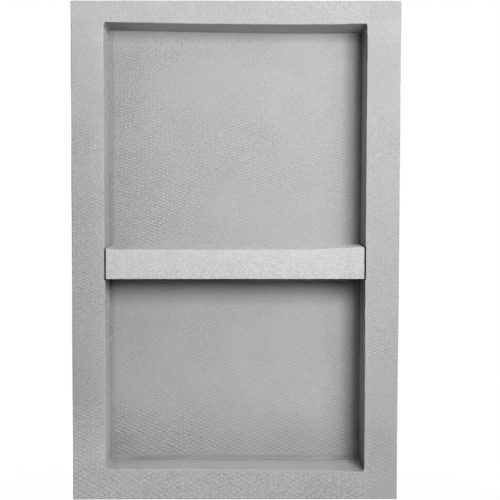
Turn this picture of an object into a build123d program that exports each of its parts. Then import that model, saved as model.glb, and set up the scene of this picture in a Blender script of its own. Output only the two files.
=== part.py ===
"""A tile-ready shower niche insert: a coated foam recess with a flange, and the sloped shelf set in it.

The frame has +X to the right as seen from the room, +Y into the wall and +Z up. The origin is the middle
of the flange's rear face, the face that lies against the studs.
"""

import os

from build123d import *

os.makedirs("parts", exist_ok=True)

# Flange: the flat border that laps over the wall around the hole
flange_width = 400.0
flange_height = 610.0
flange_thickness = 12.5
flange_corner_radius = 2.5

# Border left between the flange's outside and the opening
border_side = 40.0
border_top = 28.0
border_bottom = 37.0

# Recess: the box behind the flange, sized to stand between two studs
recess_depth = 89.0
opening_corner_radius = 2.5
wall_thickness = 12.5
back_thickness = 12.5

# Rounding that the trowelled coat leaves on outside edges and in inside corners
arris_radius = 1.2
cove_radius = 1.2

# Shelf: its front is flush with the flange, and its top falls towards the room so that water runs off
shelf_height_above_floor = 233.5
shelf_front_height = 36.0
shelf_fall = 4.8
shelf_end_clearance = 1.75

# Sizes that follow from the ones above
opening_width = flange_width - 2 * border_side
opening_height = flange_height - border_top - border_bottom
opening_rise = (border_bottom - border_top) / 2
box_width = opening_width + 2 * wall_thickness
box_height = opening_height + 2 * wall_thickness
box_corner_radius = opening_corner_radius + arris_radius
box_depth = recess_depth + back_thickness - flange_thickness

front_y = -flange_thickness
back_panel_y = front_y + recess_depth
recess_floor_z = opening_rise - opening_height / 2

shelf_width = opening_width - 2 * shelf_end_clearance
shelf_underside_z = recess_floor_z + shelf_height_above_floor
shelf_front_top_z = shelf_underside_z + shelf_front_height
shelf_back_top_z = shelf_front_top_z + shelf_fall

flange_rear = Plane.XZ
flange_front = Plane.XZ.offset(flange_thickness)


# Body: flange, recess walls and back panel, coated as one piece
with BuildPart() as niche_body:
    with BuildSketch(flange_rear):
        RectangleRounded(flange_width, flange_height, flange_corner_radius)
    extrude(amount=flange_thickness)

    with BuildSketch(flange_rear):
        with Locations((0, opening_rise)):
            RectangleRounded(box_width, box_height, box_corner_radius)
    extrude(amount=-box_depth)

    with BuildSketch(flange_front):
        with Locations((0, opening_rise)):
            RectangleRounded(opening_width, opening_height, opening_corner_radius)
    extrude(amount=-recess_depth, mode=Mode.SUBTRACT)

    # The back panel's inner face is the second of the two flat faces deepest in the wall
    back_panel_face = niche_body.faces().filter_by(Axis.Y).sort_by(Axis.Y)[-2]
    fillet(back_panel_face.edges(), radius=cove_radius)

    front_face = niche_body.faces().sort_by(Axis.Y)[0]
    fillet(front_face.edges(), radius=arris_radius)

    rear_face = niche_body.faces().sort_by(Axis.Y)[-1]
    fillet(rear_face.edges(), radius=arris_radius)

niche_body.part.label = "niche_body"
export_step(niche_body.part, "parts/niche_body.step")


# Shelf: bonded by its rear face to the back panel, clear of the walls at both ends
with BuildPart() as shelf:
    with BuildSketch(Plane.YZ):
        with BuildLine():
            Polyline(
                (front_y, shelf_underside_z),
                (back_panel_y, shelf_underside_z),
                (back_panel_y, shelf_back_top_z),
                (front_y, shelf_front_top_z),
                close=True,
            )
        make_face()
    extrude(amount=shelf_width / 2, both=True)

    shelf_front_face = shelf.faces().sort_by(Axis.Y)[0]
    fillet(shelf_front_face.edges(), radius=arris_radius)

    # The rear corners are eased to pass the cove where the walls meet the back panel
    shelf_rear_face = shelf.faces().sort_by(Axis.Y)[-1]
    fillet(shelf_rear_face.edges().filter_by(Axis.Z), radius=cove_radius)

shelf.part.label = "shelf"
export_step(shelf.part, "parts/shelf.step")
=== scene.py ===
"""A tile-ready shower niche insert, dressed in its coat and lit for a plain studio picture.

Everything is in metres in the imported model's own frame: +X to the right as seen from the room, +Y into the
wall, +Z up, with the origin in the middle of the flange's rear face.
"""

import math

import bmesh
import bpy
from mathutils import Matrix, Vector, noise


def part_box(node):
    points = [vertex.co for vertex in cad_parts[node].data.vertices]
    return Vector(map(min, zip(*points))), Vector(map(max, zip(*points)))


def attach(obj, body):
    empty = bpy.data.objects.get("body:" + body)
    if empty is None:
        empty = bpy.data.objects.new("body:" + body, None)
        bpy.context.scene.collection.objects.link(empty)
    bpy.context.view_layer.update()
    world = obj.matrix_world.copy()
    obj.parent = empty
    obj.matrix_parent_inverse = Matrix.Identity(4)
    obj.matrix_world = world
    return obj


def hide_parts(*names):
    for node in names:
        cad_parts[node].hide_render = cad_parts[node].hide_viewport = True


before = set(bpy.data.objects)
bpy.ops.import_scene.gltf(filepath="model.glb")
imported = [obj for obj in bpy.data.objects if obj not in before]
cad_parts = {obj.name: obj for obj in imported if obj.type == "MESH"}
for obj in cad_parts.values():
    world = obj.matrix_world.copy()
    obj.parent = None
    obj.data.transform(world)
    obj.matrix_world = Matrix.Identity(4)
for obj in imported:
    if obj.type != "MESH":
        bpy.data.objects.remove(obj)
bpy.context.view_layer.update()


# Niche body
# A foam box and flange in one piece, skinned with a fleece bedded in grey polymer cement. The coat is
# trowelled by hand, so the edges are slightly round and the opening runs a little out of square.

body_low, body_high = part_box("niche_body")
shelf_low, shelf_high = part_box("shelf")
flange_rear_y = 0.0
border_side = 0.040
border_top = 0.028
border_bottom = 0.037
wall_thickness = 0.0125
back_thickness = 0.0125
coat_rounding = 0.0011
coat_rounding_steps = 3
corner_rounding = 0.0034
corner_rounding_steps = 5
body_mesh_pitch = 0.0065

opening_low = Vector((body_low.x + border_side, body_low.y, body_low.z + border_bottom))
opening_high = Vector((body_high.x - border_side, body_high.y - back_thickness, body_high.z - border_top))
opening_half_width = opening_high.x
recess_depth = opening_high.y - opening_low.y

# Directions as seen from the room
rightwards = Vector((1, 0, 0))
inwards = Vector((0, 1, 0))
upwards = Vector((0, 0, 1))

# How far the trowelled opening's top and bottom stray upwards: at the middle, across the half width and as
# a bow; then more at the back alone; and at the right tip, in front and at the back, over a reach sideways
top_stray = {
    "middle": -0.0005,
    "lean": -0.0013,
    "bow": 0.0013,
    "back_middle": -0.0009,
    "back_lean": -0.0005,
    "front_tip": 0.0009,
    "back_tip": 0.0,
    "tip_reach": (0.125, 0.150),
}
bottom_stray = {
    "middle": -0.00035,
    "lean": -0.0010,
    "bow": 0.0,
    "back_middle": 0.0,
    "back_lean": 0.0,
    "front_tip": -0.0022,
    "back_tip": 0.0018,
    "tip_reach": (0.110, 0.150),
}
stray_reach = 0.008

# How far each side's outer edge, opening edge and back corner stray outwards: at mid height, and for each
# metre up
left_stray = {"outer": (0.0, 0.0030), "edge": (0.0003, 0.0034), "back": (0.0, 0.0024)}
right_stray = {"outer": (0.0003, 0.0075), "edge": (-0.0007, 0.0066), "back": (-0.0005, 0.0115)}

# The right opening edge and back corner stand more upright below this height, by this much for each metre
right_foot_height = -0.07
right_foot_edge_lean = 0.0014
right_foot_back_lean = 0.0055

# How far the painted shade of the inside corners reaches, and how far short of them the fleece stops
corner_reach = 0.070
wall_share = 0.5
fleece_margin = 0.005
crease_margin = 0.0026
crease_width = 0.9 * crease_margin
arris_margin = 0.0035

# A small chip in the recess floor's front edge, near the left wall, with a crumb of coat beside it, and the
# places beside the chip where the mesh is cut for both
chip_place = Vector((-0.1459, -0.0120, -0.2676))
chip_reach = 0.0034
chip_depth = 0.0020
chip_contrast = -0.22
chip_direction = Vector((0, 0.5, -1))
chip_cuts = (-0.0035, -0.0016, 0.0, 0.0016, 0.0029, 0.0041, 0.0054)
crumb_place = Vector((-0.1418, -0.0125, -0.2674))
crumb_reach = 0.0026
crumb_height = 0.0010
crumb_contrast = 0.12
blemish_core = 1 / 3

# Unevenness of the coat: height and waves for each metre, coarse then fine, and along the opening's edges
coat_waves = ((0.00035, 13.0), (0.00014, 55.0))
coat_seed = Vector((3.1, 7.7, 1.9))
ragged_height = 0.0005
ragged_rate = 70.0

# Angles past which an edge is a corner to round, or part of one that is rounded, and how flats are shaded
sharp_angle = math.radians(30)
rounded_angle = math.radians(12)
flat_shading_weight = 60


def block(low, high):
    """A closed box between two corners."""
    mesh = bmesh.new()
    bmesh.ops.create_cube(mesh, size=1.0)
    bmesh.ops.scale(mesh, vec=high - low, verts=mesh.verts)
    bmesh.ops.translate(mesh, vec=(low + high) / 2, verts=mesh.verts)
    return mesh


def push_panel(mesh, direction, low, high, depth):
    """Marks out a rectangle on the face that looks along direction, and pushes it along Y by depth."""
    mesh.normal_update()
    panel = max(mesh.faces, key=lambda face: face.normal.dot(direction))
    bmesh.ops.inset_individual(mesh, faces=[panel], thickness=wall_thickness)
    for vert in panel.verts:
        vert.co.x = high.x if vert.co.x > 0 else low.x
        vert.co.z = high.z if vert.co.z > 0 else low.z
    pushed = bmesh.ops.extrude_discrete_faces(mesh, faces=[panel])["faces"]
    bmesh.ops.translate(mesh, vec=inwards * depth, verts=pushed[0].verts)


def round_corners(mesh, radius, steps, chosen=lambda edge: True):
    """Rounds the corner edges, outside and inside alike."""
    corners = [edge for edge in mesh.edges if edge.calc_face_angle(0) > sharp_angle and chosen(edge)]
    bmesh.ops.bevel(
        mesh, geom=corners, offset=radius, segments=steps, profile=0.5, affect="EDGES", material=-1
    )


def cut_across(mesh, place, normal):
    """Adds a line of points where a plane crosses the mesh."""
    everything = mesh.verts[:] + mesh.edges[:] + mesh.faces[:]
    bmesh.ops.bisect_plane(mesh, geom=everything, plane_co=place, plane_no=normal)


def cut_grid(mesh, low, high, pitch):
    """Cuts the mesh into an even grid, fine enough for the coat's unevenness."""
    for axis, normal in enumerate((rightwards, inwards, upwards)):
        count = round((high[axis] - low[axis]) / pitch)
        for step in range(1, count):
            cut_across(mesh, low + (high - low) * (step / count), normal)


def cut_beside_edges(mesh, low, high, margin):
    """Cuts the mesh beside a rectangle's four sides: inside, or outside where the margin is below zero."""
    inset = (rightwards + upwards) * margin
    for place in (low + inset, high - inset):
        cut_across(mesh, place, rightwards)
        cut_across(mesh, place, upwards)


def mark_edges(mesh, low, high):
    """Stores on each point whether it lies on an outside edge that is rounded, between two corners."""
    layer = mesh.verts.layers.float.new("arris")
    for vert in mesh.verts:
        bends = [edge for edge in vert.link_edges if edge.calc_face_angle(0) > rounded_angle]
        outside_edge = bends and all(edge.is_convex for edge in bends)
        between = all(low[axis] <= vert.co[axis] <= high[axis] for axis in range(3))
        vert[layer] = 1.0 if outside_edge and between else 0.0


def lay_out_fleece(mesh):
    """Gives the surface flat coordinates in metres, laid square on to each face."""
    mesh.normal_update()
    layer = mesh.loops.layers.uv.new("fleece")
    for face in mesh.faces:
        lean = [abs(part) for part in face.normal]
        across_axis, up_axis = ((1, 2), (0, 2), (0, 1))[lean.index(max(lean))]
        for loop in face.loops:
            loop[layer].uv = (loop.vert.co[across_axis], loop.vert.co[up_axis])


def trowel(mesh, waves, seed):
    """Moves each point in or out by the coat's unevenness."""
    mesh.normal_update()
    moves = []
    for vert in mesh.verts:
        height = sum(size * noise.noise(vert.co * rate + seed) for size, rate in waves)
        moves.append(vert.normal * height)
    for vert, move in zip(mesh.verts, moves):
        vert.co += move


def new_object(mesh, name, material):
    """Turns a bmesh into an object at the origin."""
    data = bpy.data.meshes.new(name)
    mesh.to_mesh(data)
    mesh.free()
    data.materials.append(material)
    made = bpy.data.objects.new(name, data)
    bpy.context.scene.collection.objects.link(made)
    return made


def finished_piece(mesh, name, material):
    """A smooth piece, with flats shaded flat and edges shaded round."""
    piece = new_object(mesh, name, material)
    for polygon in piece.data.polygons:
        polygon.use_smooth = True
    flats = piece.modifiers.new("flat faces", "WEIGHTED_NORMAL")
    flats.weight = flat_shading_weight
    return piece


def held(value):
    """A value kept between 0 and 1."""
    return min(1.0, max(0.0, value))


def eased(value, start, full):
    """Grows smoothly from 0 at the start to 1 at the full mark."""
    share = held((value - start) / (full - start))
    return share * share * (3 - 2 * share)


def nearness(place, middle, reach):
    """1 at a middle, falling to 0 at its reach."""
    return max(0.0, 1 - (place - middle).length / reach)


def depth_share(place):
    """0 at the flange's front and 1 at the back panel."""
    return min(1.0, (place.y - body_low.y) / recess_depth)


def end_stray(place, middle, lean, bow, back_middle, back_lean, front_tip, back_tip, tip_reach):
    """How far a point of the opening's top or bottom moves up where they aren't level."""
    share = place.x / opening_half_width
    depth = depth_share(place)
    tip = front_tip + (back_tip - front_tip) * depth
    level = middle + lean * share + bow * share * share + (back_middle + back_lean * share) * depth
    return level + tip * eased(place.x, *tip_reach)


def side_stray(place):
    """How far a point moves sideways where the sides aren't plumb."""
    stray = left_stray if place.x < 0 else right_stray
    outer, edge, back = (middle + lean * place.z for middle, lean in stray.values())
    if place.x > 0:
        below_foot = max(0.0, right_foot_height - place.z)
        edge += right_foot_edge_lean * below_foot
        back += right_foot_back_lean * below_foot
    border = held((abs(place.x) - opening_half_width) / border_side)
    reach = min(1.0, abs(place.x) / opening_half_width)
    inner = edge + (back - edge) * depth_share(place)
    outwards = (inner + (outer - inner) * border) * reach
    return outwards if place.x > 0 else -outwards


def runs_into_recess(edge):
    """Whether an edge is one of the recess's four inside corners, from the front to the back panel."""
    start, end = (vert.co for vert in edge.verts)
    full_depth = abs(end.y - start.y) > recess_depth - coat_rounding
    return full_depth and abs(start.x) < opening_half_width + coat_rounding


body = block(body_low, Vector((body_high.x, flange_rear_y, body_high.z)))
side_walls = (rightwards + upwards) * wall_thickness
box_depth = body_high.y - flange_rear_y
push_panel(body, inwards, opening_low - side_walls, opening_high + side_walls, box_depth)
push_panel(body, -inwards, opening_low, opening_high, recess_depth)
round_corners(body, corner_rounding, corner_rounding_steps, runs_into_recess)
round_corners(body, coat_rounding, coat_rounding_steps)
cut_grid(body, body_low, body_high, body_mesh_pitch)
for margin in (fleece_margin, crease_margin, -arris_margin):
    cut_beside_edges(body, opening_low, opening_high, margin)
cut_across(body, opening_high - inwards * crease_margin, inwards)
for beside_chip in chip_cuts:
    cut_across(body, chip_place + rightwards * beside_chip, rightwards)
around = (rightwards + inwards + upwards) * 2 * coat_rounding
mark_edges(body, opening_low - around, opening_high + around)
lay_out_fleece(body)

# The fleece shows on the flats and not on the recess's walls. Painted shade deepens towards the inside
# corners, half as strong on the walls, and lies fully over the head.
fleece_layer = body.verts.layers.float.new("woven")
corner_shade_layer = body.verts.layers.float.new("corner")
crease_layer = body.verts.layers.float.new("crease")
for vert in body.verts:
    from_side = opening_half_width - abs(vert.co.x)
    from_head = opening_high.z - vert.co.z
    from_floor = vert.co.z - opening_low.z
    from_wall = min(from_side, from_head, from_floor)
    from_back = opening_high.y - vert.co.y
    vert[fleece_layer] = 1.0
    if from_wall > -coat_rounding and from_back > -coat_rounding:
        at_back = from_back < coat_rounding / 2
        at_front = vert.co.y < body_low.y + coat_rounding / 2
        corner_shade = held(1 - (from_wall if at_back else from_back) / corner_reach)
        if from_head < coat_rounding:
            corner_shade = 1.0
        elif not at_back:
            corner_shade *= wall_share
        vert[corner_shade_layer] = corner_shade
        vert[fleece_layer] = float(at_front or (at_back and from_wall > fleece_margin))
        vert[crease_layer] = float(max(from_wall, from_back) < crease_width)

# The opening strays from square, and its floor's front edge has a chip and a crumb
for vert in body.verts:
    inside = abs(vert.co.x) < opening_half_width + stray_reach and vert.co.y < opening_high.y + coat_rounding
    if inside:
        for level, stray in ((opening_high.z, top_stray), (opening_low.z, bottom_stray)):
            share = max(0.0, 1 - abs(vert.co.z - level) / stray_reach)
            vert.co.z += end_stray(vert.co, **stray) * share
    vert.co.x += side_stray(vert.co)
    chip = chip_depth * nearness(vert.co, chip_place, chip_reach)
    crumb = crumb_height * nearness(vert.co, crumb_place, crumb_reach)
    vert.co += chip_direction * (chip - crumb)
trowel(body, coat_waves, coat_seed)

# The opening's edges are a little ragged, and the flange stands flat on its bottom edge
arris_layer = body.verts.layers.float["arris"]
for vert in body.verts:
    vert.co += vert.normal * vert[arris_layer] * ragged_height * noise.noise(vert.co * ragged_rate)
    vert.co.z = max(vert.co.z, body_low.z)


def new_material(name):
    """A material made of nodes, with its shader and nothing else in it."""
    material = bpy.data.materials.new(name)
    material.use_nodes = True
    return material


def add_node(tree, kind, sockets=None, **settings):
    """A node with its properties and sockets set: a socket's value may be a constant or another socket."""
    node = tree.nodes.new(kind)
    for name, value in settings.items():
        setattr(node, name, value)
    for name, value in (sockets or {}).items():
        if isinstance(value, bpy.types.NodeSocket):
            tree.links.new(value, node.inputs[name])
        else:
            node.inputs[name].default_value = value
    return node


def object_place(tree):
    """Where a point lies, in the model's frame."""
    return add_node(tree, "ShaderNodeTexCoord").outputs["Object"]


def parts_of(tree, vector):
    """A vector's three parts: across, inwards and up."""
    return add_node(tree, "ShaderNodeSeparateXYZ", {"Vector": vector}).outputs


def stored(tree, name):
    """What the mesh stores on its points under a name."""
    return add_node(tree, "ShaderNodeAttribute", attribute_name=name).outputs["Fac"]


def calc(tree, operation, *values):
    """A math node's result."""
    return add_node(tree, "ShaderNodeMath", dict(enumerate(values)), operation=operation).outputs[0]


def product(tree, *values):
    """Several values multiplied."""
    result = values[0]
    for value in values[1:]:
        result = calc(tree, "MULTIPLY", result, value)
    return result


def noise_field(tree, where, rate, detail=2.0):
    """Noise from 0 to 1 over the surface, with about half its rate in waves for each metre."""
    sockets = {"Vector": where, "Scale": rate, "Detail": detail}
    return add_node(tree, "ShaderNodeTexNoise", sockets).outputs["Fac"]


def spread(tree, value, from_low, from_high, to_low, to_high):
    """A value mapped from one range to another, and held inside it."""
    sockets = {
        "Value": value,
        "From Min": from_low,
        "From Max": from_high,
        "To Min": to_low,
        "To Max": to_high,
    }
    return add_node(tree, "ShaderNodeMapRange", sockets).outputs["Result"]


def grows(tree, value, start, full):
    """Nothing at the start and 1 from the full mark on, whichever way the value runs."""
    return spread(tree, value, start, full, 0.0, 1.0)


def away_from(tree, where):
    """1 where a place isn't, and 0 where it is."""
    return calc(tree, "SUBTRACT", 1.0, where)


def raised(tree, value, where, share):
    """A value raised in one place by a share of itself, or lowered where the share is below zero."""
    return calc(tree, "MULTIPLY", value, calc(tree, "MULTIPLY_ADD", where, share, 1.0))


def finish_coat(tree, tone, height, roughness):
    """Gives a matt coat its grey and its relief."""
    shader = tree.nodes["Principled BSDF"]
    colour = add_node(tree, "ShaderNodeCombineColor", {"Red": tone, "Green": tone, "Blue": tone})
    bump = add_node(tree, "ShaderNodeBump", {"Strength": 1.0, "Distance": 1.0, "Height": height})
    tree.links.new(colour.outputs["Color"], shader.inputs["Base Color"])
    tree.links.new(bump.outputs["Normal"], shader.inputs["Normal"])
    shader.inputs["Roughness"].default_value = roughness
    shader.inputs["Specular IOR Level"].default_value = coat_gloss
    shader.inputs["Diffuse Roughness"].default_value = coat_softness


# The coat's grey, the fleece in it, and what lies between the threads. Rates are those of noise_field, and
# contrasts are shares of the grey.
fleece_grey = 0.4225
fleece_roughness = 0.92
coat_gloss = 0.2
coat_softness = 0.3
fleece_across = 0.0105
fleece_up = 0.0040
fleece_stretch = 3.5
fleece_stretch_power = 3.0
fleece_height = 0.00022
fleece_contrast = 0.12
fleece_pulls = ((18.0, 0.0035), (120.0, 0.0016))
thread_patchiness = (0.5, 1.1)
panel_thread_reach = (-0.12, -0.02)
head_thread_reach = (0.10, 0.18)
flange_thread_reach = (-0.17, 0.17)
dash_rate = 260.0
dash_shares = (0.2, 1.4)
blob_rate = 330.0
blob_contrast = 0.04
grit_rate = 760.0
grit_contrast = 0.18
grit_height = 0.00010
least_wall_grit = 0.4
pit_rate = 430.0
pit_levels = (0.27, 0.20)
pit_contrast = -0.2
speck_rate = 260.0
speck_levels = (0.72, 0.78)
speck_height = 0.00015
speck_tone = 0.08
mottle_rate = 22.0
mottle_contrast = 0.022
left_mottle_rate = 170.0
left_mottle_contrast = 0.11
corner_shade_power = 1.6
corner_shade_contrast = -0.09
arris_contrast = 0.03

# The coat lies thicker to the right and near the top, where the trowel finished, and is smoother there; its
# share of the grey pales it at random and, as painted light, towards the lamps at the upper right.
# The back panel is rougher than the rest, above all on its left.
thickness_rate = 11.0
thickness_lean = 0.8
top_thickness = 0.4
top_thickness_reach = (0.12, 0.30)
thickness_levels = (0.25, 0.80)
thick_coat_roughness = 0.4
mean_thickness = 0.5
thickness_and_light_contrast = 0.04
least_roughness = 0.7
panel_roughness = (0.4, 1.0)
panel_roughness_reach = (-0.05, -0.16)

# Levels that most of a noise field lies between
usual_levels = (0.3, 0.7)
wide_levels = (0.25, 0.75)

# How each face's mask fades in, past the line where the face begins
front_fade = (0.003, 0.001)
box_fade = (0.004, 0.002)
recess_fade = (0.008, 0.004)
panel_fade = (0.010, 0.001)
off_panel_fade = (0.0010, 0.0025)
wall_fade = (-0.004, -0.002)
shelf_fade = (-0.004, 0.0)

# Heights between which one look gives way to the other, above the shelf and below it
over_shelf = (-0.03, 0.0)
under_shelf = (0.0, -0.03)

# Strips along the back panel's left and bottom, beside the walls, the left one ragged
left_strip = (0.0060, 0.0048)
bottom_strip = (-0.0066, -0.0036)
strip_rate = 190.0
strip_ragged = 0.0008

fleece_coat = new_material("fleece_coat")
coat = fleece_coat.node_tree
place = object_place(coat)
flat = add_node(coat, "ShaderNodeUVMap", uv_map="fleece").outputs["UV"]
woven, arris, corner, crease = (stored(coat, name) for name in ("woven", "arris", "corner", "crease"))
across, inward, up = parts_of(coat, place)

# Where a point lies: how far past the opening's outline, and on which of the coat's faces
past_right = calc(coat, "SUBTRACT", across, opening_half_width)
past_left = calc(coat, "SUBTRACT", -opening_half_width, across)
past_top = calc(coat, "SUBTRACT", up, opening_high.z)
past_bottom = calc(coat, "SUBTRACT", opening_low.z, up)
past_sides = calc(coat, "MAXIMUM", past_right, past_left)
past_ends = calc(coat, "MAXIMUM", past_top, past_bottom)
past_outline = calc(coat, "MAXIMUM", past_sides, past_ends)
past_panel = calc(coat, "SUBTRACT", inward, opening_high.y)
from_panel = calc(coat, "ABSOLUTE", past_panel)
from_front = calc(coat, "SUBTRACT", inward, body_low.y)
below_shelf = calc(coat, "SUBTRACT", shelf_low.z, up)

on_front = grows(coat, from_front, *front_fade)
in_box = grows(coat, past_panel, *box_fade)
in_recess = product(coat, in_box, grows(coat, past_outline, *recess_fade), away_from(coat, on_front))
on_back = product(coat, in_recess, grows(coat, from_panel, *panel_fade))
off_panel = grows(coat, from_panel, *off_panel_fade)
on_right, on_left, on_head, on_ledge = (
    product(coat, in_recess, grows(coat, past_wall, *wall_fade))
    for past_wall in (past_right, past_left, past_top, past_bottom)
)
on_head = product(coat, on_head, off_panel)

# How far a point of the back panel is from its left wall, by a ragged line, and from its leaning right wall
ragged_noise = noise_field(coat, place, strip_rate, detail=1.0)
ragged = spread(coat, ragged_noise, *usual_levels, -strip_ragged, strip_ragged)
from_left = calc(coat, "ADD", calc(coat, "ADD", across, opening_half_width), ragged)
corner_middle, corner_lean = right_stray["back"]
right_corner = calc(coat, "MULTIPLY_ADD", up, corner_lean, opening_half_width + corner_middle)
below_foot = calc(coat, "MAXIMUM", calc(coat, "SUBTRACT", right_foot_height, up), 0.0)
right_corner = calc(coat, "MULTIPLY_ADD", below_foot, right_foot_back_lean, right_corner)
from_right = calc(coat, "SUBTRACT", right_corner, across)

# The ways in which a patch of the coat can grow, and what is measured along each
ways = {
    "rightwards": across,
    "leftwards": across,
    "upwards": up,
    "downwards": up,
    "inwards": inward,
    "past_ends": past_ends,
    "off_ends": past_ends,
    "to_opening": past_sides,
    "to_bottom": past_bottom,
    "to_left": from_left,
    "to_right": from_right,
    "off_right": from_right,
    "to_shelf": below_shelf,
}


def within(where, **reaches):
    """A part of a face, which grows along each way from nothing at the first place to all at the second."""
    for way, reach in reaches.items():
        where = product(coat, where, grows(coat, ways[way], *reach))
    return where


thickness = noise_field(coat, place, thickness_rate, detail=3.0)
thickness = calc(coat, "MULTIPLY_ADD", across, thickness_lean, thickness)
thickness = calc(coat, "ADD", thickness, spread(coat, up, *top_thickness_reach, 0.0, top_thickness))
thinness = spread(coat, thickness, *thickness_levels, 1.0, thick_coat_roughness)
roughened = product(coat, thinness, woven, away_from(coat, arris))

# Rougher on the panel's left, at its head and on the flange's ends and right; smoother low on the left, at
# the right above the shelf, and just below the shelf
lower_half = grows(coat, up, *under_shelf)
calm_band = within(lower_half, upwards=(-0.21, -0.17))
calm_left = within(product(coat, calm_band, on_back), leftwards=(-0.03, -0.08))
near_shelf = within(on_back, downwards=under_shelf, to_shelf=(0.06, 0.02))
right_above = within(on_back, upwards=over_shelf, rightwards=(0.02, 0.08))
more_roughness = product(coat, on_back, spread(coat, across, *panel_roughness_reach, *panel_roughness))
for where, share in ((calm_band, -0.9), (within(on_back, upwards=(0.10, 0.16)), 0.35)):
    more_roughness = raised(coat, more_roughness, where, share)
crisp = product(coat, roughened, calc(coat, "ADD", more_roughness, least_roughness))
roughness_shares = (
    (right_above, -0.12),
    (near_shelf, -0.5),
    (calm_left, -0.15),
    (within(on_front, past_ends=(0.0, 0.006), to_opening=(0.01, -0.01)), 0.7),
    (within(on_front, rightwards=(0.05, 0.12)), 0.35),
    (within(on_back, downwards=under_shelf), 0.2),
    (within(on_back, upwards=(0.225, 0.245)), 0.38),
)
for where, share in roughness_shares:
    crisp = raised(coat, crisp, where, share)

# The fleece's threads cross in two slanting sets over upright ribs. They are pulled out of line, and show
# less at the head, below the shelf and low on the left, where they are pressed in, and more at the foot.
pulled = flat
for pull_rate, pull in fleece_pulls:
    drift = add_node(coat, "ShaderNodeTexNoise", {"Vector": place, "Scale": pull_rate})
    sockets = {0: drift.outputs["Color"], 1: (pull, pull, pull), 2: pulled}
    pulled = add_node(coat, "ShaderNodeVectorMath", sockets, operation="MULTIPLY_ADD").outputs["Vector"]
pulled_across, pulled_up, _ = parts_of(coat, pulled)
stretched = calc(coat, "POWER", pulled_up, fleece_stretch_power)
stretched = calc(coat, "MULTIPLY_ADD", stretched, fleece_stretch, 1.0)
across_turns = calc(coat, "MULTIPLY", pulled_across, math.tau / fleece_across)
up_turns = product(coat, pulled_up, math.tau / fleece_up, stretched)
panel_showing = away_from(coat, on_front)
panel_showing_shares = (
    (grows(coat, up, 0.03, -0.03), -0.30),
    (grows(coat, up, 0.12, 0.22), -0.42),
    (grows(coat, up, -0.20, -0.24), 0.571),
    (calm_left, -0.24),
    (near_shelf, -0.5),
)
for where, share in panel_showing_shares:
    panel_showing = raised(coat, panel_showing, where, share)
flange_showing = raised(coat, on_front, grows(coat, past_top, 0.0, 0.004), 0.3)


def thread_set(across_rate, up_rate, patch_rate, panel_shares, flange_shares, head_share=1.0):
    """One set of threads: how they run, and how strongly they show from left to right and at the head."""
    turns = calc(coat, "MULTIPLY_ADD", across_turns, across_rate, calc(coat, "MULTIPLY", up_turns, up_rate))
    panel_share = product(coat, panel_showing, spread(coat, across, *panel_thread_reach, *panel_shares))
    panel_share = product(coat, panel_share, spread(coat, up, *head_thread_reach, 1.0, head_share))
    flange_share = product(coat, flange_showing, spread(coat, across, *flange_thread_reach, *flange_shares))
    patchy = spread(coat, noise_field(coat, place, patch_rate), *usual_levels, *thread_patchiness)
    return product(coat, calc(coat, "COSINE", turns), patchy, calc(coat, "ADD", panel_share, flange_share))


rising_threads = thread_set(
    across_rate=1.0, up_rate=1.0, patch_rate=47.0, panel_shares=(1.40, 0.88), flange_shares=(0.62, 0.53)
)
falling_threads = thread_set(
    across_rate=1.0, up_rate=-1.0, patch_rate=53.0, panel_shares=(0.65, 0.80), flange_shares=(0.52, 0.66)
)
ribs = thread_set(
    across_rate=2.0,
    up_rate=0.0,
    patch_rate=59.0,
    panel_shares=(0.32, 0.14),
    flange_shares=(0.28, 0.28),
    head_share=3.0,
)
threads = calc(coat, "ADD", calc(coat, "ADD", rising_threads, falling_threads), ribs)
dashes = spread(coat, noise_field(coat, place, dash_rate, detail=0.0), *usual_levels, *dash_shares)
weave = product(coat, threads, roughened, dashes)

# Cement between the threads: soft blobs, sharp grit, dark pits and the odd pale speck
blobs = spread(coat, noise_field(coat, place, blob_rate, detail=0.0), *wide_levels, -1.0, 1.0)
blobs = product(coat, blobs, roughened)
for where, share in ((lower_half, -0.3), (right_above, -0.28)):
    blobs = raised(coat, blobs, where, share)
wall_grit = least_wall_grit
wall_grit_shares = (
    (on_left, 0.6),
    (product(coat, on_left, calm_band), 1.0),
    (within(on_head, leftwards=(0.0, -0.12)), 0.6),
    (on_ledge, 0.6),
)
for where, share in wall_grit_shares:
    wall_grit = calc(coat, "MULTIPLY_ADD", where, share, wall_grit)
grit = spread(coat, noise_field(coat, place, grit_rate, detail=0.0), *wide_levels, -1.0, 1.0)
grit = product(coat, grit, calc(coat, "MAXIMUM", crisp, wall_grit))
pits = product(coat, grows(coat, noise_field(coat, place, pit_rate, detail=0.0), *pit_levels), crisp)
specks = grows(coat, noise_field(coat, place, speck_rate, detail=1.0), *speck_levels)
mottle = spread(coat, noise_field(coat, place, mottle_rate, detail=4.0), *usual_levels, -1.0, 1.0)
left_mottle = spread(coat, noise_field(coat, place, left_mottle_rate), *usual_levels, -1.0, 1.0)

relief = calc(coat, "MULTIPLY", weave, fleece_height)
relief = calc(coat, "MULTIPLY_ADD", calc(coat, "ADD", grit, blobs), grit_height, relief)
relief = calc(coat, "MULTIPLY_ADD", specks, speck_height, relief)

# Each finish tells on the coat's grey by its own share, paler where it is above zero
finishes = [
    (mottle, mottle_contrast),
    (product(coat, left_mottle, on_left), left_mottle_contrast),
    # Paler where the coat is thicker: at random, and towards the upper right as painted light
    (calc(coat, "SUBTRACT", thickness, mean_thickness), thickness_and_light_contrast),
    # The weave darkens the hollows between the threads: partly coat pooled there, partly painted shade
    (weave, fleece_contrast),
    (blobs, blob_contrast),
    (grit, grit_contrast),
    (pits, pit_contrast),
    # Painted shade in the inside corners and over the head
    (calc(coat, "POWER", corner, corner_shade_power), corner_shade_contrast),
    # Paler rounded edges round the opening: partly worn coat, partly painted highlight
    (arris, arris_contrast),
]


def patch(where, share, **reaches):
    """Makes part of a face paler by a share of its grey, or darker where the share is below zero."""
    finishes.append((within(where, **reaches), share))


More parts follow.
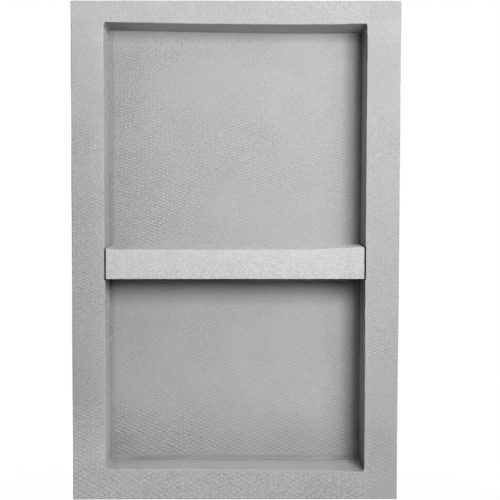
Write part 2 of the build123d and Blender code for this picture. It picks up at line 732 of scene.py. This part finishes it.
# Flange: darker beside the opening, and paler at the opening's sides
patch(on_front, 0.025)
patch(on_front, -0.055, off_ends=(0.01, -0.03))
patch(on_front, -0.04, off_ends=(0.01, -0.03), leftwards=(0.0, -0.16))
patch(on_front, 0.09, off_ends=(0.01, -0.02), to_opening=(0.022, 0.0), leftwards=(0.12, -0.12))
patch(on_front, 0.04, to_opening=(0.006, 0.001), rightwards=(0.10, 0.15))
patch(on_front, 0.05, off_ends=(0.0, -0.02), leftwards=(-0.155, -0.165), upwards=(0.10, 0.20))
patch(on_front, 0.05, off_ends=(0.0, -0.02), leftwards=(-0.155, -0.165), downwards=(-0.19, -0.225))

# Flange: paler at the foot and the top left, darker at the lower right and the top right
patch(on_front, 0.17, leftwards=(0.16, -0.20), downwards=(-0.17, -0.25))
patch(on_front, 0.06, leftwards=(0.0, -0.20), upwards=(0.20, 0.29))
patch(on_front, -0.06, rightwards=(0.10, 0.19), downwards=(-0.18, -0.26))
patch(on_front, -0.03, rightwards=(0.09, 0.12), upwards=(0.280, 0.285))

# Back panel: painted light over it, paler towards the lamp on the right, and painted light and shade that
# vary with height
patch(on_back, 0.07)
patch(product(coat, on_back, across), 0.38)
patch(on_back, 0.04, leftwards=(0.02, -0.02), upwards=(0.250, 0.262))
patch(on_back, -0.05, leftwards=(-0.08, -0.16), upwards=(-0.02, 0.03))
patch(on_back, -0.05, upwards=(-0.01, 0.01), downwards=(0.07, 0.02))
patch(on_back, -0.04, downwards=(-0.060, -0.068))
patch(on_back, 0.085, downwards=(-0.09, -0.16))
patch(on_back, -0.05, downwards=(-0.19, -0.24))
patch(on_back, -0.07, rightwards=(0.02, 0.07), downwards=(-0.20, -0.235))
patch(on_back, -0.10, leftwards=(-0.115, -0.135), downwards=(-0.230, -0.240))

# Back panel: a strip along its left wall, and a narrower one inside it
patch(on_back, -0.17, to_left=left_strip, upwards=over_shelf)
patch(on_back, -0.09, to_left=left_strip, downwards=under_shelf)
patch(on_back, 0.14, to_left=left_strip, downwards=(-0.232, -0.242))
patch(on_back, 0.15, to_left=(0.0032, 0.0020), upwards=over_shelf)
patch(on_back, -0.08, to_left=(0.0042, 0.0030), downwards=under_shelf)
patch(on_back, -0.06, leftwards=(-0.150, -0.156), downwards=(-0.02, -0.06))

# Back panel: a strip along the floor, which breaks off before the left wall
patch(on_back, -0.12, to_bottom=bottom_strip, rightwards=(-0.140, -0.118))
patch(on_back, -0.10, to_bottom=bottom_strip, rightwards=(-0.140, -0.118), leftwards=(0.11, 0.07))
patch(on_back, 0.12, to_bottom=bottom_strip, leftwards=(-0.125, -0.140))
patch(on_back, -0.14, to_bottom=bottom_strip, rightwards=(0.118, 0.127), leftwards=(0.152, 0.140))

# Back panel: painted shadow of the right wall, deepening towards it and lifted in places, with painted light
# in the corner itself
patch(on_back, -0.05, rightwards=(0.120, 0.130))
patch(on_back, 0.035, rightwards=(0.131, 0.138))
patch(on_back, -0.14, rightwards=(0.105, 0.150), downwards=(0.0, -0.12))
patch(on_back, -0.22, rightwards=(0.105, 0.150), upwards=(0.235, 0.268))
patch(on_back, -0.06, rightwards=(0.148, 0.158), upwards=(-0.02, 0.03))
patch(on_back, 0.08, rightwards=(0.122, 0.132), upwards=(0.249, 0.255), downwards=(0.270, 0.264))
patch(on_back, 0.06, rightwards=(0.118, 0.130), upwards=(-0.155, -0.125), downwards=(-0.060, -0.068))
patch(on_back, -0.06, rightwards=(0.137, 0.144), downwards=(-0.15, -0.18))
patch(on_back, -0.20, to_right=(0.0115, 0.0065), downwards=(0.25, 0.05))
patch(on_back, -0.10, to_right=(0.0115, 0.0065), upwards=(0.17, 0.19), downwards=(0.25, 0.235))
patch(on_back, -0.13, to_right=(0.0110, 0.0075), off_right=(0.0035, 0.0055), upwards=(0.12, 0.20))
patch(on_back, -0.15, to_right=(0.0190, 0.0120), upwards=(0.262, 0.270))
patch(on_back, 0.16, to_right=(0.0110, 0.0070), downwards=(-0.236, -0.246))
patch(on_back, -0.08, to_right=(0.0100, 0.0050), downwards=under_shelf)
patch(on_back, 0.72, to_right=(0.0042, 0.0012))

# Creases round the back panel: painted shade, but for the right, and painted light at the top right and under
# the head
patch(crease, -0.10, leftwards=(0.15, 0.12))
patch(crease, 0.35, upwards=(0.245, 0.255), rightwards=(0.140, 0.150))
patch(crease, 0.08, upwards=(0.262, 0.266), rightwards=(-0.154, -0.146), leftwards=(0.02, -0.04))

# Below the shelf: painted shadow, deepest just under it and towards the right wall, with painted light
# lifting the thin band just under it on its right half
past_shelf = grows(coat, below_shelf, *shelf_fade)
lower_panel, lower_left, lower_right = (
    product(coat, face, past_shelf) for face in (on_back, on_left, on_right)
)
patch(lower_panel, -0.05, to_shelf=(0.052, 0.012))
patch(lower_panel, -0.08, to_shelf=(0.015, 0.009))
patch(lower_panel, -0.42, to_shelf=(0.0050, 0.0040))
patch(lower_panel, -0.20, to_shelf=(0.052, 0.012), rightwards=(0.10, 0.155))
patch(lower_panel, -0.10, to_shelf=(0.022, 0.012), rightwards=(0.10, 0.13))
patch(lower_panel, 0.55, to_shelf=(0.0060, 0.0050), rightwards=(-0.02, 0.035), leftwards=(0.150, 0.138))
patch(lower_left, -0.33, to_shelf=(0.020, 0.010))
patch(lower_right, -0.25, to_shelf=(0.052, 0.012))

# Left wall: painted shade growing down towards the shelf and at its foot, and painted light below the shelf
patch(on_left, -0.07, downwards=(0.25, 0.02))
patch(on_left, -0.06, downwards=(0.15, 0.08))
patch(on_left, 0.26, downwards=(0.0, -0.07))
patch(on_left, 0.05, downwards=(-0.16, -0.20))
patch(on_left, -0.10, downwards=(-0.245, -0.258))

# Right wall: painted shade, deeper towards both ends
patch(on_right, -0.108)
patch(on_right, -0.15, downwards=(0.22, 0.06))
patch(on_right, -0.12, downwards=(0.08, 0.03))
patch(on_right, 0.22, downwards=(-0.07, -0.13))
patch(on_right, -0.25, downwards=(-0.205, -0.235))
patch(on_right, -0.32, downwards=(-0.215, -0.245), inwards=(0.02, 0.06))
patch(on_right, -0.32, downwards=(-0.250, -0.264))
patch(on_right, -0.30, upwards=(0.225, 0.262))

# Head of the recess: painted shade, deeper towards its ends and the back
patch(on_head, -0.13)
patch(on_head, -0.16, leftwards=(-0.10, -0.16))
patch(on_head, -0.12, leftwards=(-0.125, -0.140))
patch(on_head, -0.08, leftwards=(-0.10, -0.14), inwards=(0.03, 0.07))
patch(on_head, -0.10, leftwards=(0.02, -0.06), inwards=(0.035, 0.055))
patch(on_head, -0.07, rightwards=(0.100, 0.125))
patch(on_head, -0.30, rightwards=(0.140, 0.157))
patch(on_head, -0.20, rightwards=(0.130, 0.140), inwards=(0.04, 0.07))
patch(on_head, -0.16, rightwards=(0.02, 0.06), inwards=(0.064, 0.071))
patch(on_head, -0.18, inwards=(0.064, 0.071))

# Floor of the recess: painted light over it, and painted shade towards its ends, deepest in the right wall's
# shadow, with the chip dark and the crumb pale
patch(on_ledge, 0.15)
patch(on_ledge, 0.11, rightwards=(-0.11, -0.06), inwards=(0.02, 0.06))
patch(on_ledge, -0.03, rightwards=(0.0, 0.08))
patch(on_ledge, -0.09, leftwards=(-0.08, -0.13))
patch(on_ledge, -0.10, leftwards=(-0.146, -0.150))
ledge_off_panel = product(coat, on_ledge, off_panel)
patch(ledge_off_panel, -0.14, rightwards=(0.105, 0.150))
patch(ledge_off_panel, -0.32, rightwards=(0.138, 0.155))
blemishes = ((chip_place, chip_reach, chip_contrast), (crumb_place, crumb_reach, crumb_contrast))
for blemish, reach, share in blemishes:
    spot = add_node(coat, "ShaderNodeVectorMath", {0: place, 1: blemish}, operation="DISTANCE")
    patch(grows(coat, spot.outputs["Value"], reach, reach * blemish_core), share)

# Slots at the shelf's ends, painted dark as shade: the left one's top drops behind its front, and the right
# one's follows the shelf's fall
left_slot = (-0.1609, -0.1570)
left_slot_top = 0.0042
left_slot_drop = -0.75
left_slot_back_top = -0.0005
right_slot = (0.1601, 0.1570)
right_slot_top = 0.0047
right_slot_rise = 0.0315
slot_shade_contrast = -0.88
slot_side_fade = 0.0004
slot_foot_fade = (0.0020, 0.0010)
slot_top_fade = (0.0005, 0.0)
left_top = calc(coat, "MULTIPLY_ADD", from_front, left_slot_drop, left_slot_top)
left_top = calc(coat, "MAXIMUM", left_top, left_slot_back_top)
right_top = calc(coat, "MULTIPLY_ADD", from_front, right_slot_rise, right_slot_top)
for (outer, inner), top in ((left_slot, left_top), (right_slot, right_top)):
    fade = math.copysign(slot_side_fade, outer)
    slot = product(
        coat,
        in_box,
        grows(coat, across, outer, outer - fade),
        grows(coat, across, inner, inner + fade),
        grows(coat, below_shelf, *slot_foot_fade),
        grows(coat, calc(coat, "SUBTRACT", up, top), *slot_top_fade),
    )
    patch(slot, slot_shade_contrast)

grey = fleece_grey
for finish, share in finishes:
    grey = raised(coat, grey, finish, share)
grey = calc(coat, "MULTIPLY_ADD", specks, speck_tone, grey)
finish_coat(coat, grey, relief, fleece_roughness)

niche_body = finished_piece(body, "coated_niche_body", fleece_coat)
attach(niche_body, "root")
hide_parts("niche_body")


# Shelf
# A wedge of the same foam, cut to fall towards the room, with a paler and sandier coat on it. It is bonded
# to the back panel and stands just clear of the walls, so a dark gap shows at each end, with the shelf's ends
# painted dark as shade.

shelf_fall = 0.0048
shelf_off_centre = -0.00045
shelf_rounding = 0.0005
shelf_edge_margin = 0.0012
shelf_mesh_pitch = 0.005
shelf_waves = ((0.0002, 21.0), (0.00012, 80.0))
shelf_seed = Vector((9.2, 0.4, 5.5))
shelf_size = shelf_high - shelf_low

# The trowelled top sags between its ends and rises towards them, between these shares of the length
shelf_sag = 0.0004
left_rise = 0.0016
left_rise_reach = (0.03, 0.0)
right_rise = 0.0020
right_rise_reach = (0.79, 0.90)
tip_rise = 0.0010
tip_rise_reach = (0.94, 0.985)

# The ends are painted dark as shade, and the underside nearly as dark, as painted shade too
painted_shade_margin = 0.0002
underside_shade = 0.8

shelf_mesh = block(shelf_low, shelf_high)
for vert in shelf_mesh.verts:
    if vert.co.y < 0 and vert.co.z > shelf_low.z + shelf_fall:
        vert.co.z -= shelf_fall
round_corners(shelf_mesh, shelf_rounding, coat_rounding_steps)
cut_grid(shelf_mesh, shelf_low, shelf_high, shelf_mesh_pitch)
cut_beside_edges(shelf_mesh, shelf_low, shelf_high - upwards * shelf_fall, shelf_edge_margin)
mark_edges(shelf_mesh, shelf_low, shelf_high)
painted_shade_layer = shelf_mesh.verts.layers.float.new("painted_shade")
for vert in shelf_mesh.verts:
    along, back, upper = ((vert.co[axis] - shelf_low[axis]) / shelf_size[axis] for axis in range(3))
    bend = right_rise * eased(along, *right_rise_reach) + left_rise * eased(along, *left_rise_reach)
    bend -= shelf_sag * math.sin(math.pi * along)
    tip = tip_rise * eased(along, *tip_rise_reach)
    at_end = shelf_size.x / 2 - abs(vert.co.x) < painted_shade_margin
    underneath = vert.co.z - shelf_low.z < painted_shade_margin
    vert[painted_shade_layer] = max(float(at_end), underside_shade * underneath)
    vert.co.z += (bend * (1 - back) + tip) * upper
    vert.co.x += shelf_off_centre
trowel(shelf_mesh, shelf_waves, shelf_seed)

# The coat's grey and its sand, coarser to the eye on the top and at the foot of the front
sand_grey = 0.55
sand_roughness = 0.9
sand_rate = 680.0
sand_levels = (0.38, 0.62)
sand_height = 0.00022
front_sandiness = (0.10, 0.06)
top_sandiness = 0.15
hole_rate = 330.0
hole_levels = (0.27, 0.22)
hole_height = -0.0002
hole_contrast = -0.2
sand_mottle_rate = 38.0
sand_mottle = (0.98, 1.02)
facing_up_levels = (0.5, 0.9)
foot_to_top_tones = (0.96, 1.01)
# Painted light on the shelf's top, paler towards the lamp on the right; painted shade at the top's left end
# and on the shelf's right end, in the right wall's shadow
top_light_lean = 0.65
top_left_shade = -0.13
top_left_reach = (-0.10, -0.15)
right_shade = -0.06
right_shade_reach = (0.125, 0.140)
shelf_edge_contrast = 0.22
painted_shade_contrast = -0.85


def sandy_coat():
    """Sand bedded in pale cement, with small holes, pale along the edges, and painted dark as shade on the
    ends and underside.
    """
    material = new_material("sandy_coat")
    tree = material.node_tree
    place = object_place(tree)
    across, _, up = parts_of(tree, place)
    _, _, facing_up = parts_of(tree, add_node(tree, "ShaderNodeNewGeometry").outputs["Normal"])
    on_top = grows(tree, facing_up, *facing_up_levels)

    sand = noise_field(tree, place, sand_rate, detail=0.0)
    holes = grows(tree, noise_field(tree, place, hole_rate, detail=1.0), *hole_levels)
    height = calc(tree, "MULTIPLY", sand, sand_height)
    height = calc(tree, "MULTIPLY_ADD", holes, hole_height, height)

    mottle = noise_field(tree, place, sand_mottle_rate, detail=4.0)
    mottle = spread(tree, mottle, *usual_levels, *sand_mottle)
    sandiness = spread(tree, up, shelf_low.z, shelf_high.z, *front_sandiness)
    sandiness = calc(tree, "MULTIPLY_ADD", on_top, top_sandiness, sandiness)
    top_left = spread(tree, across, *top_left_reach, 0.0, top_left_shade)
    top_light = calc(tree, "MULTIPLY_ADD", across, top_light_lean, top_left)
    grey = calc(tree, "MULTIPLY", mottle, sand_grey)
    grey = calc(tree, "MULTIPLY", grey, spread(tree, up, shelf_low.z, shelf_high.z, *foot_to_top_tones))
    finishes = (
        (spread(tree, sand, *sand_levels, -1.0, 1.0), sandiness),
        # Painted light and shade on the top and the right end
        (on_top, top_light),
        (grows(tree, across, *right_shade_reach), right_shade),
        # The ends and underside painted dark as shade
        (stored(tree, "painted_shade"), painted_shade_contrast),
        # Paler edges: partly worn coat, partly painted highlight
        (stored(tree, "arris"), shelf_edge_contrast),
        (holes, hole_contrast),
    )
    for finish, share in finishes:
        grey = raised(tree, grey, finish, share)
    finish_coat(tree, grey, height, sand_roughness)
    return material


shelf = finished_piece(shelf_mesh, "coated_shelf", sandy_coat())
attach(shelf, "root")
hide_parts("shelf")


# Floor
# A plain pale sheet under the flange's bottom edge. It looks white to the camera and keeps the niche's soft
# shadow.

floor_reach = 6.0
floor_white = 0.25
shadow_reach = 0.55
floor_glow_near = 0.96
floor_glow_far = 1.0


def seen_directly(tree):
    """1 for what the camera sees, straight or in a gloss or through glass, and 0 for light on the object."""
    rays = add_node(tree, "ShaderNodeLightPath").outputs
    seen = calc(tree, "MAXIMUM", rays["Is Camera Ray"], rays["Is Glossy Ray"])
    return calc(tree, "MAXIMUM", seen, rays["Is Transmission Ray"])


def mix_into(tree, share, first, second, output):
    """Shows a share of the second shader over the first."""
    mixed = add_node(tree, "ShaderNodeMixShader", {"Fac": share, 1: first, 2: second})
    tree.links.new(mixed.outputs["Shader"], tree.nodes[output].inputs["Surface"])


floor_paper = new_material("floor_paper")
paper = floor_paper.node_tree
paper_shader = paper.nodes["Principled BSDF"]
paper_shader.inputs["Base Color"].default_value = (floor_white, floor_white, floor_white, 1)
paper_shader.inputs["Roughness"].default_value = 1.0
away = add_node(paper, "ShaderNodeVectorMath", {0: object_place(paper)}, operation="LENGTH").outputs["Value"]
glow_share = spread(paper, away, opening_half_width, shadow_reach, floor_glow_near, floor_glow_far)
glow_share = calc(paper, "MULTIPLY", seen_directly(paper), glow_share)
glow = add_node(paper, "ShaderNodeEmission", {"Strength": 1.0})
mix_into(paper, glow_share, paper_shader.outputs["BSDF"], glow.outputs["Emission"], "Material Output")

floor_mesh = bmesh.new()
bmesh.ops.create_grid(floor_mesh, x_segments=2, y_segments=2, size=floor_reach)
bmesh.ops.translate(floor_mesh, vec=upwards * body_low.z, verts=floor_mesh.verts)
floor = new_object(floor_mesh, "floor", floor_paper)


# Light
# One soft box to the upper right of the camera, in a dim room, so that the right wall, the head of the recess
# and the space under the shelf fall into shade. A strip light overhead picks out the shelf's top and the
# recess's floor, and two lamps behind light the sides and the back.

room_level = 0.008
soft_box_place = Vector((0.35, -1.22, 0.28))
soft_box_target = Vector((0.08, 0.0, 0.62))
soft_box_size = (0.36, 0.46)
soft_box_watts = 21.3
niche_middle = Vector((0.0, 0.0, 0.0))
strip_place = Vector((0.2, -0.34, 1.25))
strip_size = (0.5, 0.1)
strip_watts = 3.0
rear_lamp_spread = 1.15
rear_lamp_away = 1.25
rear_lamp_height = 0.55
rear_lamp_size = (0.7, 0.7)
rear_lamp_watts = 17.0

world = bpy.data.worlds.new("room")
bpy.context.scene.world = world
world.use_nodes = True
room = world.node_tree
dim = room.nodes["Background"]
dim.inputs["Color"].default_value = (1, 1, 1, 1)
dim.inputs["Strength"].default_value = room_level
white = add_node(room, "ShaderNodeBackground", {"Color": (1, 1, 1, 1), "Strength": 1.0})
mix_into(
    room, seen_directly(room), dim.outputs["Background"], white.outputs["Background"], "World Output"
)


def hang_lamp(name, place, target, size, watts):
    """A rectangular lamp at a place, facing a target."""
    lamp = bpy.data.lights.new(name, "AREA")
    lamp.shape = "RECTANGLE"
    lamp.size, lamp.size_y = size
    lamp.energy = watts
    hung = bpy.data.objects.new(name, lamp)
    hung.location = place
    hung.rotation_euler = (target - place).to_track_quat("-Z", "Y").to_euler()
    bpy.context.scene.collection.objects.link(hung)


hang_lamp("soft_box", soft_box_place, soft_box_target, soft_box_size, soft_box_watts)
hang_lamp("strip", strip_place, niche_middle, strip_size, strip_watts)
for side, name in ((-1, "rear_left_lamp"), (1, "rear_right_lamp")):
    rear_lamp_place = Vector((side * rear_lamp_spread, rear_lamp_away, rear_lamp_height))
    hang_lamp(name, rear_lamp_place, niche_middle, rear_lamp_size, rear_lamp_watts)
bpy.context.scene.view_settings.view_transform = "Standard"


# Camera
# Square on to the flange from about two metres, tipped down by a degree or so as in the photograph.

picture_side = 500
flange_height_px = 498.8
object_middle_px = Vector((235.5, 250.85))
camera_distance = 2.114
camera_tip = math.radians(1.4)
camera_shift_up = 0.03
sensor_width_mm = 36.0

metres_per_pixel = (body_high.z - body_low.z) / flange_height_px
focal_px = camera_distance / metres_per_pixel
foot_px = picture_side / 2 + camera_shift_up * picture_side - focal_px * math.tan(camera_tip)
camera_turn = math.atan((picture_side / 2 - object_middle_px.x) / focal_px)
camera_data = bpy.data.cameras.new("camera")
camera_data.sensor_width = sensor_width_mm
camera_data.lens = sensor_width_mm * focal_px / picture_side
camera_data.shift_y = camera_shift_up
camera = bpy.data.objects.new("camera", camera_data)
camera.location = (0, body_low.y - camera_distance, (object_middle_px.y - foot_px) * metres_per_pixel)
camera.rotation_euler = (math.radians(90) - camera_tip, 0, -camera_turn)
bpy.context.scene.collection.objects.link(camera)
bpy.context.scene.camera = camera
